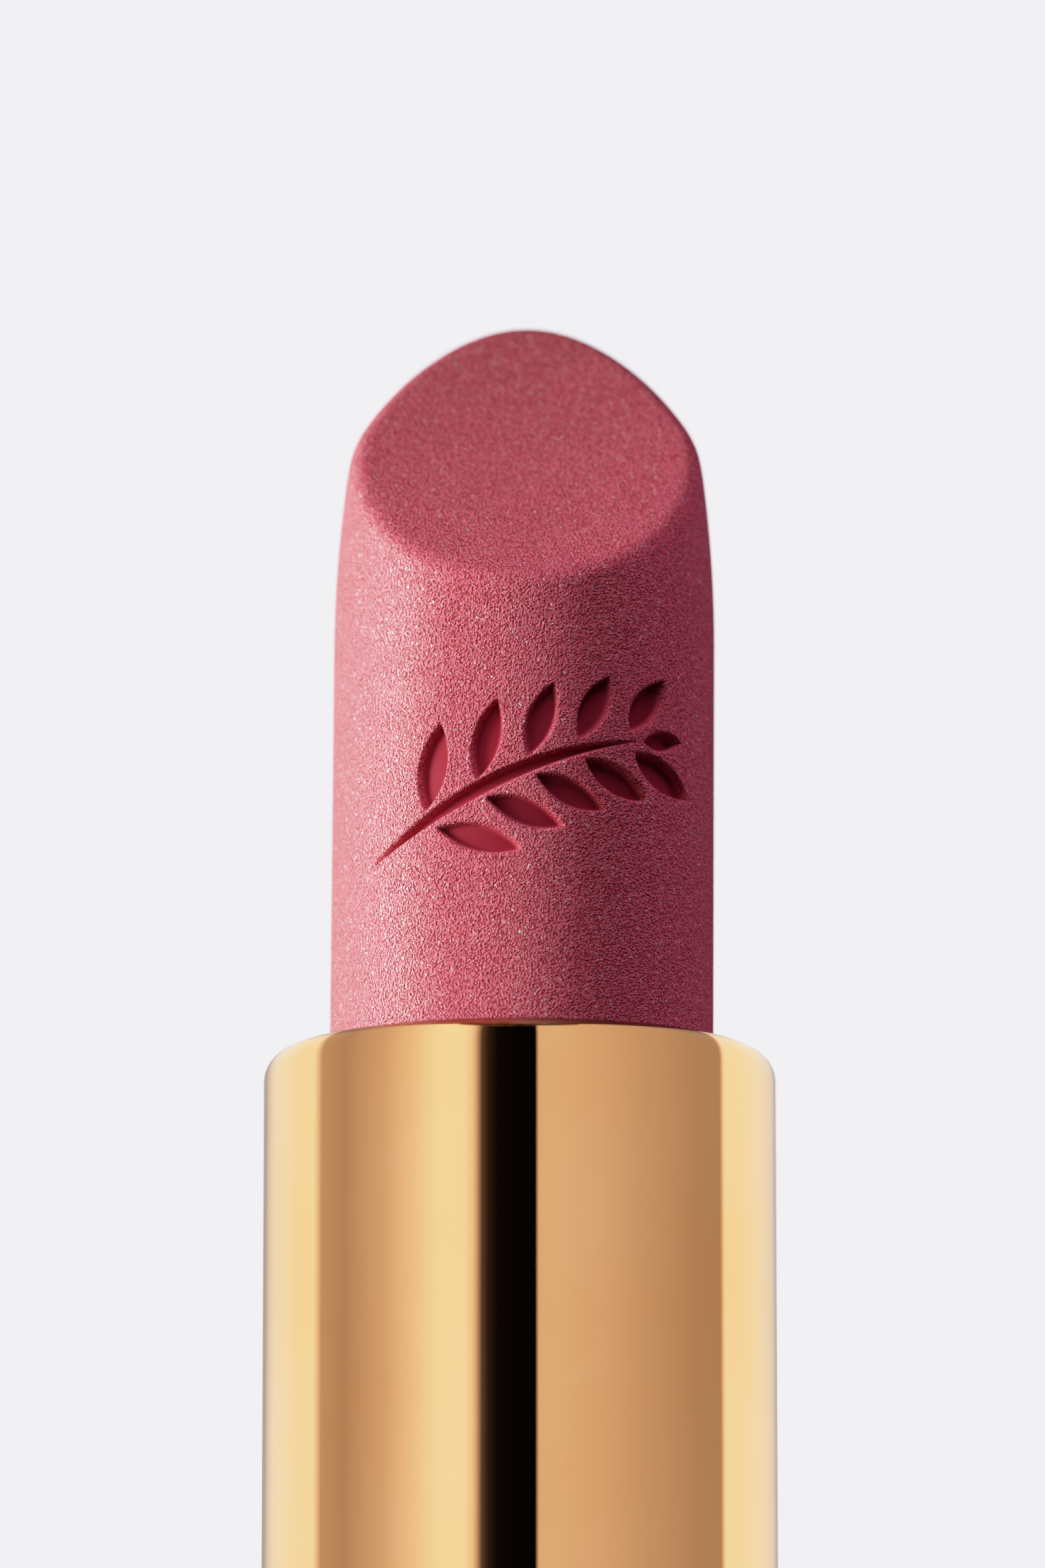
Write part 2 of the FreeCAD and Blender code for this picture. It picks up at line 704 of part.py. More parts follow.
def draw_leaf(sketch, leaf):
    """A leaf is two arcs that meet in points."""
    x, y, length, half, angle = leaf
    z = motif_z + y
    radius = (length ** 2 / 4 + half ** 2) / (2 * half)
    tip_x = x + length * math.cos(angle)
    tip_z = z + length * math.sin(angle)
    arc_chain(sketch, [(x, z, radius, True), (tip_x, tip_z, radius, True)])


def draw_stem(sketch):
    """A thin crescent between the two ends of the stem."""
    left_z = motif_z + stem_height(stem_left)
    right_z = motif_z + stem_height(stem_right)
    arc_chain(sketch, [
        (stem_left, left_z, stem_under_r, False),
        (stem_right, right_z, stem_over_r, True),
    ])


def press_sprig(body):
    """Cuts the sprig's outline into the front, then fills it up to the pressed depth."""
    sketch = new_sketch(body, "XZ_Plane")
    draw_stem(sketch)
    for leaf in sprig_leaves():
        draw_leaf(sketch, leaf)
    pocket = body.newObject("PartDesign::Pocket", "sprig_cut")
    pocket.Profile = sketch
    pocket.Type = "Length"
    pocket.Reversed = True
    pocket.setExpression("Length", case_r.formula)
    core = bullet_r - motif_d
    turned(body, [
        (0, motif_z - motif_reach),
        (core, motif_z - motif_reach),
        (core, motif_z + motif_reach),
        (0, motif_z + motif_reach),
    ])


# ---------------------------------------------------------------- cap
def cap_rim():
    """Height of the cap's rim as it stands, pulled off."""
    return base_height + cap_gap + cap_lift


def make_cap_shell():
    """Drawn gold cap with a recess for the inlay and one fine decor groove."""
    body = new_body("cap_shell", cap_rim())
    height = case_height - base_height - cap_gap
    inner = case_r - wall
    groove_in = case_r - groove_d
    turned(body, [
        (inner, 0, rim_round),
        (case_r, 0, rim_round),
        (case_r, groove_z),
        (groove_in, groove_z),
        (groove_in, groove_z + groove_w),
        (case_r, groove_z + groove_w),
        (case_r, height, edge_round),
        (inlay_r, height),
        (inlay_r, height - inlay_d),
        (0, height - inlay_d),
        (0, height - end_wall),
        (inner, height - end_wall, edge_round),
    ])


def make_cap_liner():
    """Moulded inner cap, ribbed inside to ride on the sleeve and outside to grip the shell."""
    body = new_body("cap_liner", cap_rim() + flange_z)
    roof = cap_roof - base_height - cap_gap - flange_z
    turned(body, [
        (cap_bore, 0, rim_round),
        (liner_r, 0),
        (liner_r, flange_t),
        (cap_liner_r, flange_t),
        (cap_liner_r, roof + roof_t),
        (0, roof + roof_t),
        (0, roof),
        (cap_bore, roof),
    ])
    ribs(body, cap_rib_r, cap_bore + rib_root, rib_margin, cap_rib_top, 8)
    grip_low = flange_t + keeper_h + rib_margin
    ribs(body, cap_liner_r - rib_root, liner_r, grip_low, roof, 12)


def make_keeper_ring():
    """Steel ring on the liner's flange, pulled by the magnet."""
    body = new_body("keeper_ring", cap_rim() + flange_z + flange_t + 0.02)
    inner = cap_liner_r + snug
    turned(body, [(inner, 0), (liner_r, 0), (liner_r, keeper_h), (inner, keeper_h)])


def make_cap_weight():
    """Steel disc between the roof of the liner and the end of the cap."""
    seated = case_height - end_wall - snug - cap_weight_h
    body = new_body("cap_weight", seated + cap_lift)
    radius = case_r - wall - snug * 4
    turned(body, [
        (0, 0),
        (radius, 0, rim_round),
        (radius, cap_weight_h, edge_round),
        (0, cap_weight_h),
    ])


def make_cap_top_disc():
    """Inlay in the cap top, with one shallow ring for decor."""
    body = new_body("cap_top_disc", case_height + cap_lift - inlay_d)
    radius = inlay_r - snug
    ring_out = inlay_ring + groove_w
    turned(body, [
        (0, 0),
        (radius, 0),
        (radius, inlay_d, rim_round / 2),
        (ring_out, inlay_d),
        (ring_out, inlay_d - groove_d),
        (inlay_ring, inlay_d - groove_d),
        (inlay_ring, inlay_d),
        (0, inlay_d),
    ])


# ---------------------------------------------------------------- the whole case
def make_case():
    make_base_shell()
    make_shade_label()
    make_base_weight()
    make_base_liner()
    make_neck_ring()
    make_magnet_ring()
    make_guide_tube()
    make_friction_ring("friction_ring_lower", ring_low_z)
    make_friction_ring("friction_ring_upper", ring_low_z + ring_pitch)
    make_thrust_washer()
    make_spiral_cam()
    make_sleeve_shell()
    make_bullet_cup()
    make_lipstick_bullet()
    make_cap_shell()
    make_cap_liner()
    make_keeper_ring()
    make_cap_weight()
    make_cap_top_disc()
    doc.recompute()


def check_case():
    """Stops if any feature failed or any piece is not one sound solid."""
    for item in doc.Objects:
        if "Invalid" in item.State or "Error" in item.State:
            raise RuntimeError("%s failed: %s" % (item.Name, item.State))
    for item in parts:
        shape = item.Shape
        if shape.isNull() or not shape.isValid() or len(shape.Solids) != 1:
            raise RuntimeError("%s is not one sound solid" % item.Label)


def export_case():
    os.makedirs("parts", exist_ok=True)
    for item in parts:
        item.Shape.exportStep("parts/%s.step" % item.Label)


make_case()
check_case()
export_case()
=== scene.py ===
import math

import bpy
import numpy as np
from mathutils import Euler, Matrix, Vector


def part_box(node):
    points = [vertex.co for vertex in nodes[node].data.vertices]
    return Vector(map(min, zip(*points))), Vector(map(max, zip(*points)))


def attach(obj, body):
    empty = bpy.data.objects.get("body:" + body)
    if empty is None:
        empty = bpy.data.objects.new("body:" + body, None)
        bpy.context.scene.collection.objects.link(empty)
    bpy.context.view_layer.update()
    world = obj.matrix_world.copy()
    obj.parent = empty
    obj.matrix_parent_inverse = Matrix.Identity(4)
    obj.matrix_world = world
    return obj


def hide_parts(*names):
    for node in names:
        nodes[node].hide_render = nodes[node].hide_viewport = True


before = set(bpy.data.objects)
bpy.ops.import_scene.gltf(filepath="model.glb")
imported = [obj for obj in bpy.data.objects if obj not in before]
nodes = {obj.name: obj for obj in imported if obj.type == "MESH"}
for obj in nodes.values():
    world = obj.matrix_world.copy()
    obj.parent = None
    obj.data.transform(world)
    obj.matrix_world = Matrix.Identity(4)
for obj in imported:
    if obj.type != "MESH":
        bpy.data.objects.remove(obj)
bpy.context.view_layer.update()

MM = 0.001
foot_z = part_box("base_shell")[0].z
rim_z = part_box("sleeve_shell")[1].z
stick_low, stick_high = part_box("lipstick_bullet")


# ---------------------------------------------------------------- material helpers
class Shader:
    """A node tree that is filled in step by step: a material's, or the world's."""

    def __init__(self, name, kind="materials"):
        self.owner = getattr(bpy.data, kind).new(name)
        self.owner.use_nodes = True
        self.tree = self.owner.node_tree
        self.tree.nodes.clear()

    def add(self, kind, inputs=None, **settings):
        """A node; inputs maps a socket's name or index to a value or to another socket."""
        node = self.tree.nodes.new("ShaderNode" + kind)
        for key, value in settings.items():
            setattr(node, key, value)
        for key, value in (inputs or {}).items():
            if isinstance(value, bpy.types.NodeSocket):
                self.tree.links.new(value, node.inputs[key])
            else:
                node.inputs[key].default_value = value
        return node

    def place(self, stretch=(1, 1, 1)):
        """Position in the frame, in metres, scaled along each axis."""
        coords = self.add("TexCoord").outputs["Object"]
        if stretch == (1, 1, 1):
            return coords
        return self.add("Mapping", {"Vector": coords, "Scale": stretch}).outputs[0]

    def round_place(self, across, along, outward):
        """Position as angle, height and radius, each scaled: for grain that runs round a turned part."""
        xyz = self.add("SeparateXYZ", {0: self.add("TexCoord").outputs["Object"]}).outputs
        angle = self.math("ARCTAN2", xyz[0], xyz[1])
        return self.add("CombineXYZ", {
            0: self.math("MULTIPLY", angle, across),
            1: self.math("MULTIPLY", xyz[2], along),
            2: self.math("MULTIPLY", self.axis_distance(xyz), outward),
        }).outputs[0]

    def axis_distance(self, xyz):
        """Distance from the case's axis."""
        x_part = self.math("MULTIPLY", xyz[0], xyz[0])
        y_part = self.math("MULTIPLY", xyz[1], xyz[1])
        return self.math("SQRT", self.math("ADD", x_part, y_part))

    def noise(self, place, scale, detail=2.0, roughness=0.5):
        return self.add("TexNoise", {
            "Vector": place, "Scale": scale, "Detail": detail, "Roughness": roughness,
        }).outputs["Fac"]

    def math(self, operation, a, b=0.0, clamp=False):
        return self.add("Math", {0: a, 1: b}, operation=operation, use_clamp=clamp).outputs[0]

    def remap(self, value, low, high, new_low, new_high):
        return self.add("MapRange", {
            "Value": value, "From Min": low, "From Max": high, "To Min": new_low, "To Max": new_high,
        }).outputs[0]

    def mix(self, factor, a, b):
        node = self.add("Mix", data_type="RGBA")
        for index, value in ((0, factor), (6, a), (7, b)):
            if isinstance(value, bpy.types.NodeSocket):
                self.tree.links.new(value, node.inputs[index])
            else:
                node.inputs[index].default_value = value
        return node.outputs[2]

    def turned_normal(self):
        """The surface's normal with its level part made exactly radial, as on a turned part."""
        xyz = self.add("SeparateXYZ", {0: self.add("TexCoord").outputs["Object"]}).outputs
        level = self.add("CombineXYZ", {0: xyz[0], 1: xyz[1]}).outputs[0]
        radial = self.add("VectorMath", {0: level}, operation="NORMALIZE").outputs[0]
        normal = self.convert(self.add("NewGeometry").outputs["Normal"], "WORLD", "OBJECT")
        rise = self.add("SeparateXYZ", {0: normal}).outputs[2]
        outward = self.add("VectorMath", {0: normal, 1: radial}, operation="DOT_PRODUCT").outputs["Value"]
        spread = self.math("SUBTRACT", 1.0, self.math("MULTIPLY", rise, rise), clamp=True)
        length = self.math("MULTIPLY", self.math("SIGN", outward), self.math("SQRT", spread))
        side = self.add("VectorMath", {0: radial, "Scale": length}, operation="SCALE").outputs[0]
        up = self.add("CombineXYZ", {2: rise}).outputs[0]
        whole = self.add("VectorMath", {0: side, 1: up}, operation="ADD").outputs[0]
        return self.convert(whole, "OBJECT", "WORLD")

    def convert(self, normal, start, end):
        """A normal, carried from one space to another."""
        return self.add("VectorTransform", {0: normal}, vector_type="NORMAL",
                        convert_from=start, convert_to=end).outputs[0]

    def bump(self, height, distance, strength=1.0, base=None):
        inputs = {"Height": height, "Distance": distance, "Strength": strength}
        if base is not None:
            inputs["Normal"] = base
        return self.add("Bump", inputs).outputs[0]

    def finish(self, bounce=True, **inputs):
        """Closes the material with a Principled surface; without bounce it throws no light on others."""
        named = {key.replace("_", " "): value for key, value in inputs.items()}
        surface = self.add("BsdfPrincipled", named)
        if not bounce:
            dark = self.add("BsdfDiffuse", {"Color": rgb(0, 0, 0)})
            matte_ray = self.add("LightPath").outputs["Is Diffuse Ray"]
            surface = self.add("MixShader", {0: matte_ray, 1: surface.outputs[0], 2: dark.outputs[0]})
        return self.close(surface)

    def close(self, surface, output="OutputMaterial"):
        self.add(output, {0: surface.outputs[0]})
        return self.owner


def rgb(red, green, blue):
    return (red, green, blue, 1.0)


def put(name, data):
    """Makes an object of its data and puts it in the scene."""
    thing = bpy.data.objects.new(name, data)
    bpy.context.scene.collection.objects.link(thing)
    return thing


# ---------------------------------------------------------------- materials
GOLD = rgb(1.0, 0.58, 0.29)
GOLD_DEEP = rgb(0.97, 0.53, 0.245)


def polished_gold(name, haze=0.035):
    """Mirror gold with polishing haze and hairlines that run round the part."""
    s = Shader(name)
    cloud = s.noise(s.place(), 140, 3.0)
    hair = s.noise(s.round_place(2.0, 26000, 9000), 1.0, 3.0, 0.6)
    smear = s.noise(s.place((1, 1, 0.35)), 420, 4.0, 0.65)
    colour = s.mix(s.remap(cloud, 0.35, 0.7, 0, 1), GOLD, GOLD_DEEP)
    rough = s.math("ADD", s.remap(hair, 0.4, 0.75, haze * 0.7, haze * 1.5),
                   s.remap(smear, 0.55, 0.8, 0, haze * 0.8))
    normal = s.bump(hair, 0.0000006, 0.35, s.turned_normal())
    return s.finish(False, Base_Color=colour, Metallic=1.0, Roughness=rough, Normal=normal)


def satin_gold(name):
    """Turned satin gold: fine rings round the middle."""
    s = Shader(name)
    rings = s.noise(s.round_place(0.6, 0, 24000), 1.0, 3.0, 0.7)
    cloud = s.noise(s.place(), 300, 2.0)
    colour = s.mix(s.remap(cloud, 0.3, 0.7, 0, 1), GOLD, GOLD_DEEP)
    rough = s.remap(rings, 0.3, 0.7, 0.2, 0.36)
    normal = s.bump(rings, 0.000006, 0.5)
    return s.finish(Base_Color=colour, Metallic=1.0, Roughness=rough, Normal=normal, Anisotropic=0.5)


def moulded_plastic(name, colour, shade, rough):
    """Moulded plastic: faint flow marks, fine texture, small changes of gloss."""
    s = Shader(name)
    flow = s.noise(s.place((1, 1, 0.25)), 260, 4.0, 0.55)
    grain = s.noise(s.place(), 7000, 2.0)
    tint = s.mix(s.remap(flow, 0.35, 0.7, 0, 1), colour, shade)
    gloss = s.remap(flow, 0.3, 0.75, rough * 0.8, rough * 1.3)
    normal = s.bump(grain, 0.000008, 0.4)
    return s.finish(Base_Color=tint, Roughness=gloss, Normal=normal, IOR=1.5)


def plated_steel(name, colour, rough):
    """Turned and plated steel: rings from the tool, with soft spots in the plating."""
    s = Shader(name)
    tool = s.noise(s.round_place(1.0, 14000, 14000), 1.0, 2.0, 0.6)
    spots = s.noise(s.place(), 900, 3.0)
    darker = rgb(*(0.8 * part for part in colour[:3]))
    tint = s.mix(s.remap(spots, 0.4, 0.7, 0, 1), colour, darker)
    gloss = s.remap(tool, 0.3, 0.7, rough * 0.7, rough * 1.4)
    normal = s.bump(tool, 0.000008, 0.5)
    return s.finish(Base_Color=tint, Metallic=1.0, Roughness=gloss, Normal=normal)


def soft_rubber(name):
    """Greased silicone."""
    s = Shader(name)
    cloud = s.noise(s.place(), 2400, 3.0)
    tint = s.mix(cloud, rgb(0.03, 0.03, 0.032), rgb(0.075, 0.072, 0.07))
    return s.finish(Base_Color=tint, Roughness=s.remap(cloud, 0.3, 0.7, 0.35, 0.6),
                    Normal=s.bump(cloud, 0.00002, 0.5))


def label_paper(name):
    """Shade sticker: a rose disc in a pale border, on fibrous paper, with no text."""
    s = Shader(name)
    radius = s.axis_distance(s.add("SeparateXYZ", {0: s.place()}).outputs)
    fibre = s.noise(s.place((1, 0.3, 1)), 9000, 3.0)
    ink = s.mix(s.remap(fibre, 0.3, 0.7, 0, 1), rgb(0.40, 0.07, 0.10), rgb(0.47, 0.10, 0.13))
    border = s.remap(radius, 0.0059, 0.0060, 0, 1)
    tint = s.mix(border, ink, rgb(0.75, 0.70, 0.64))
    return s.finish(Base_Color=tint, Roughness=0.55, Normal=s.bump(fibre, 0.00001, 0.6))


def rose_stick(name):
    """Cast matte colour: sandy grain with painted shade darkening its pits and painted light on its tops,
    and painted glints as pale specks; the pressed strokes are smooth and painted darker as shade.
    """
    s = Shader(name)
    carved = s.add("Attribute", attribute_name="carved").outputs["Fac"]
    open_skin = s.math("SUBTRACT", 1.0, carved, clamp=True)
    sand = s.noise(s.place(), 19500, 1.5, 0.5)
    pits = s.noise(s.place(), 13500, 0.5, 0.5)
    cloud = s.noise(s.place(), 320, 3.0)
    height = s.math("ADD", s.remap(sand, 0.3, 0.7, 0, 1), s.remap(pits, 0.35, 0.6, 0, 0.8))
    # Painted shade and light: the colour runs from dark in the grain's pits to light on its tops.
    tint = s.mix(s.remap(height, 0.4, 1.2, 0, 1), rgb(0.50, 0.023, 0.046), rgb(1.0, 0.165, 0.215))
    tint = s.mix(s.remap(cloud, 0.35, 0.75, 0, 0.35), tint, rgb(0.80, 0.09, 0.155))
    # Painted glints: pale specks in the colour stand for sparkles of light, and the same specks also get a
    # higher specular level below.
    speck = s.add("TexVoronoi", {"Vector": s.place(), "Scale": 15000.0}, feature="F1")
    painted_glint_speck = s.math("MULTIPLY", s.remap(speck.outputs["Color"], 0.84, 0.92, 0, 1), open_skin)
    tint = s.mix(s.math("MULTIPLY", painted_glint_speck, 0.55), tint, rgb(1.0, 0.62, 0.62))
    # Painted shade in the grooves: the pressed strokes are painted darker.
    tint = s.mix(carved, tint, rgb(0.30, 0.018, 0.036))
    # Painted shade in the reflection: seen in a mirror, the stick is shown much darker.
    mirrored = s.add("LightPath").outputs["Is Glossy Ray"]
    tint = s.mix(s.math("MULTIPLY", mirrored, 0.7), tint, rgb(0.12, 0.008, 0.014))
    shine = s.math("MULTIPLY", s.remap(painted_glint_speck, 0, 1, 0.2, 1.0), s.remap(carved, 0, 1, 1, 0.3))
    normal = s.bump(height, 0.000085, s.math("MULTIPLY", open_skin, 0.95))
    return s.finish(Base_Color=tint, Roughness=0.5, Normal=normal, IOR=1.5, Specular_IOR_Level=shine)


def case_materials():
    """The material of every CAD node of the case; the stick has a piece of its own."""
    gold = polished_gold("polished_gold")
    black = moulded_plastic("black_plastic", rgb(0.012, 0.012, 0.013), rgb(0.022, 0.021, 0.021), 0.25)
    steel = plated_steel("bright_steel", rgb(0.60, 0.59, 0.57), 0.28)
    rubber = soft_rubber("soft_rubber")
    return {
        "base_shell": gold,
        "cap_shell": gold,
        "neck_ring": gold,
        "sleeve_shell": polished_gold("sleeve_gold", 0.03),
        "cap_top_disc": satin_gold("satin_gold"),
        "base_liner": black,
        "cap_liner": black,
        "guide_tube": moulded_plastic("guide_plastic", rgb(0.018, 0.018, 0.02), rgb(0.03, 0.03, 0.032), 0.3),
        "spiral_cam": moulded_plastic("spiral_plastic", rgb(0.72, 0.71, 0.67), rgb(0.66, 0.65, 0.61), 0.45),
        "bullet_cup": moulded_plastic("cup_plastic", rgb(0.55, 0.3, 0.12), rgb(0.48, 0.25, 0.1), 0.3),
        "thrust_washer": moulded_plastic("slip_plastic", rgb(0.8, 0.79, 0.75), rgb(0.74, 0.73, 0.7), 0.4),
        "base_weight": steel,
        "keeper_ring": steel,
        "cap_weight": steel,
        "magnet_ring": plated_steel("magnet_nickel", rgb(0.66, 0.62, 0.55), 0.16),
        "friction_ring_lower": rubber,
        "friction_ring_upper": rubber,
        "shade_label": label_paper("rose_paper"),
    }


def paint_case():
    for node, material in case_materials().items():
        slots = nodes[node].data.materials
        slots.clear()
        slots.append(material)


# ---------------------------------------------------------------- colour stick
# All in millimetres, with heights above the stick's foot. The piece keeps the width and nearly the length
# of the CAD node that it stands for. Its shoulder and edge are rounder, and it leans a little to the right.
STICK_R = stick_high.x / MM
STRAIGHT = 23.0
OGIVE_H, OGIVE_R = 5.5, 42.0
CROWN_R = 6.0
CONE = math.radians(25.0)
SLANT_Z, SLANT = 30.17, math.radians(49.1)
HOLLOW_R = 55.0
FOOT_ROUND = 0.15
EDGE, EDGE_SIDE, EDGE_FRONT = 0.16, 0.30, 0.16
CUT_LOWEST, CUT_HIGHEST, CUT_HALVINGS = 20.0, 38.0, 40
LEAN, LEAN_SHIFT, LEAN_Z = 0.0065, 0.055, 10.0

# The centres of the arcs that make the side, and of the hollow of the slant face.
OGIVE_TURN = math.asin(OGIVE_H / OGIVE_R)
OGIVE_X = STICK_R - OGIVE_R
CROWN_X = OGIVE_X + (OGIVE_R - CROWN_R) * math.cos(OGIVE_TURN)
CROWN_Z = STRAIGHT + (OGIVE_R - CROWN_R) * math.sin(OGIVE_TURN)
CONE_X = CROWN_X + CROWN_R * math.cos(CONE)
CONE_Z = CROWN_Z + CROWN_R * math.sin(CONE)
HOLLOW_Y = -HOLLOW_R * math.sin(SLANT)
HOLLOW_Z = SLANT_Z + HOLLOW_R * math.cos(SLANT)

# The pressed sprig: its middle's height, the depth of its floor, the width of its sloping walls, and how
# far these start outside its outline. Then its stem, its pairs of leaves and the leaf at its tip.
SPRIG_Z, SPRIG_D, SPRIG_WALL, SPRIG_SPREAD = 17.9, 0.30, 0.13, 0.03
STEM_RISE, STEM_SLOPE, STEM_BOW = 0.25, 0.42, 0.035
STEM_LEFT, STEM_RIGHT, STEM_OVER_R, STEM_UNDER_R = -4.75, 3.55, 30.0, 13.5
LEAF_PAIRS, LEAF_START, LEAF_STEP, LEAF_GAP = 5, -3.1, 1.55, 0.45
LEAF_LENGTH, LEAF_SHORTER, LEAF_HALF, LEAF_SPREAD = 2.75, 0.18, 0.43, math.radians(48)
TIP_X, TIP_LENGTH, TIP_HALF = 3.75, 1.15, 0.32

# The skin's rows and columns, fine across the sprig and coarse in the cup and at the back: heights in
# millimetres, columns in degrees.
CUP_ROWS = (0.15, 4.0, 8.0, 10.0, 12.0, 13.0)
SPRIG_LOW, SPRIG_HIGH, SPRIG_ROW = 13.6, 21.7, 0.045
FRONT_HALF, FRONT_COLUMN, BACK_COLUMN = 58, 0.43, 3.05
SIDE_STEPS, EDGE_STEPS, SLANT_STEPS = 37, 6, 23


def side_radius(z):
    """Radius of the stick at a height: straight, wide arc, tight arc, cone."""
    wide = OGIVE_X + np.sqrt(np.maximum(OGIVE_R ** 2 - (z - STRAIGHT) ** 2, 0))
    tight = CROWN_X + np.sqrt(np.maximum(CROWN_R ** 2 - (z - CROWN_Z) ** 2, 0))
    cone = CONE_X - (z - CONE_Z) * math.tan(CONE)
    radius = np.where(z < STRAIGHT, STICK_R, wide)
    radius = np.where(z > STRAIGHT + OGIVE_H, tight, radius)
    return np.where(z > CONE_Z, cone, radius)


def slant_height(y):
    """Height of the hollow slant face; y is negative at the front."""
    return HOLLOW_Z - np.sqrt(HOLLOW_R ** 2 - (y - HOLLOW_Y) ** 2)


def cut_height(azimuth):
    """Where the side meets the slant face, found by halving."""
    low = np.full_like(azimuth, CUT_LOWEST)
    high = np.full_like(azimuth, CUT_HIGHEST)
    for _ in range(CUT_HALVINGS):
        middle = (low + high) / 2
        below = middle < slant_height(-side_radius(middle) * np.cos(azimuth))
        low = np.where(below, middle, low)
        high = np.where(below, high, middle)
    return (low + high) / 2


def stem_height(along):
    """The sprig's middle line: x runs to the right of the front, y upwards from the sprig's middle."""
    return STEM_RISE + STEM_SLOPE * along - STEM_BOW * along ** 2


def stem_angle(along):
    return math.atan(STEM_SLOPE - 2 * STEM_BOW * along)


def leaf_list():
    """Each leaf as its start x and y, length, half width and angle."""
    leaves = []
    for index in range(LEAF_PAIRS):
        along = LEAF_START + LEAF_STEP * index
        for side in (1, -1):
            angle = stem_angle(along) + side * LEAF_SPREAD
            x = along + LEAF_GAP * math.cos(angle)
            y = stem_height(along) + LEAF_GAP * math.sin(angle)
            leaves.append((x, y, LEAF_LENGTH - LEAF_SHORTER * index, LEAF_HALF, angle))
    leaves.append((TIP_X, stem_height(TIP_X), TIP_LENGTH, TIP_HALF, stem_angle(TIP_X)))
    return leaves


def inside_leaf(x, y, leaf):
    """Distance inside a leaf, which is where two circles overlap."""
    start_x, start_y, length, half, angle = leaf
    along = (x - start_x) * math.cos(angle) + (y - start_y) * math.sin(angle) - length / 2
    across = -(x - start_x) * math.sin(angle) + (y - start_y) * math.cos(angle)
    radius = (length ** 2 / 4 + half ** 2) / (2 * half)
    offset = radius - half
    return radius - np.hypot(along, np.abs(across) + offset)


def inside_stem(x, y):
    """Distance inside the stem, a crescent between two arcs of one chord."""
    left = Vector((STEM_LEFT, stem_height(STEM_LEFT)))
    right = Vector((STEM_RIGHT, stem_height(STEM_RIGHT)))
    chord = right - left
    down = Vector((chord.y, -chord.x)).normalized()
    distances = []
    for radius in (STEM_UNDER_R, STEM_OVER_R):
        middle = (left + right) / 2 + down * math.sqrt(radius ** 2 - chord.length_squared / 4)
        distances.append(radius - np.hypot(x - middle.x, y - middle.y))
    return np.minimum(distances[0], -distances[1])


def carved_depth(x, y):
    """Depth of the pressed sprig: walls that slope, and a flat floor."""
    inside = inside_stem(x, y)
    for leaf in leaf_list():
        inside = np.maximum(inside, inside_leaf(x, y, leaf))
    share = np.clip((inside + SPRIG_SPREAD) / SPRIG_WALL, 0, 1)
    return SPRIG_D * share * share * (3 - 2 * share)


def make_stick():
    """Builds the stick as one closed skin: foot, side, rounded edge and slant face."""
    front = np.arange(-FRONT_HALF, FRONT_HALF, FRONT_COLUMN)
    back = np.arange(FRONT_HALF, 360 - FRONT_HALF, BACK_COLUMN)
    azimuth = np.radians(np.concatenate([front, back]))
    sine, cosine = np.sin(azimuth), np.cos(azimuth)
    smooth = np.zeros_like(azimuth)
    rows, carved = [], []

    def add_row(radius, z, pressed=smooth):
        rows.append((sine * radius, -cosine * radius, z + smooth))
        carved.append(pressed)

    add_row(STICK_R - FOOT_ROUND, 0.0)
    heights = np.concatenate([CUP_ROWS, np.arange(SPRIG_LOW, SPRIG_HIGH, SPRIG_ROW)])
    for z in heights:
        depth = np.where(cosine > 0, carved_depth(STICK_R * sine, z - SPRIG_Z), 0.0)
        add_row(STICK_R - depth, z, depth / SPRIG_D)
    cut = cut_height(azimuth)
    edge = EDGE + EDGE_SIDE * sine ** 2 + EDGE_FRONT * np.maximum(cosine, 0)
    for share in np.linspace(0, 1, SIDE_STEPS + 1)[1:]:
        z = heights[-1] + (cut - edge - heights[-1]) * share
        add_row(side_radius(z), z)
    cut_r = side_radius(cut)
    inner_r = cut_r - edge
    start = (side_radius(cut - edge), cut - edge)
    corner = (cut_r, cut)
    end = (inner_r, slant_height(-cosine * inner_r))
    for share in np.linspace(0, 1, EDGE_STEPS + 1)[1:]:
        weights = ((1 - share) ** 2, 2 * share * (1 - share), share ** 2)
        radius, z = (sum(w * p for w, p in zip(weights, trio)) for trio in zip(start, corner, end))
        add_row(radius, z)
    for share in np.linspace(1, 0, SLANT_STEPS + 1)[1:-1]:
        add_row(inner_r * share, slant_height(-cosine * inner_r * share))
    return skin_from_rows("colour_stick", rows, carved, float(slant_height(0.0)))


def skin_from_rows(name, rows, carved, top_z):
    """Joins rings of points into a closed mesh, with one point under and one on top."""
    count = len(rows[0][0])
    points = np.stack([np.stack(row, axis=-1) for row in rows]).reshape(-1, 3)
    points = np.concatenate([points, [[0, 0, 0], [0, 0, top_z]]])
    points[:, 0] += np.maximum(LEAN_SHIFT + LEAN * (points[:, 2] - LEAN_Z), 0)
    points = points * MM
    points[:, 2] += stick_low.z
    faces = []
    for ring in range(len(rows) - 1):
        a = ring * count
        for step in range(count):
            after = (step + 1) % count
            faces.append((a + step, a + after, a + count + after, a + count + step))
    under, over = len(points) - 2, len(points) - 1
    last = (len(rows) - 1) * count
    for step in range(count):
        after = (step + 1) % count
        faces.append((under, after, step))
        faces.append((over, last + step, last + after))
    mesh = bpy.data.meshes.new(name)
    mesh.from_pydata(points.tolist(), [], faces)
    mesh.shade_smooth()
    attribute = mesh.attributes.new("carved", "FLOAT", "POINT")
    attribute.data.foreach_set("value", np.concatenate(carved + [[0.0, 0.0]]).astype(np.float32))
    return put(name, mesh)


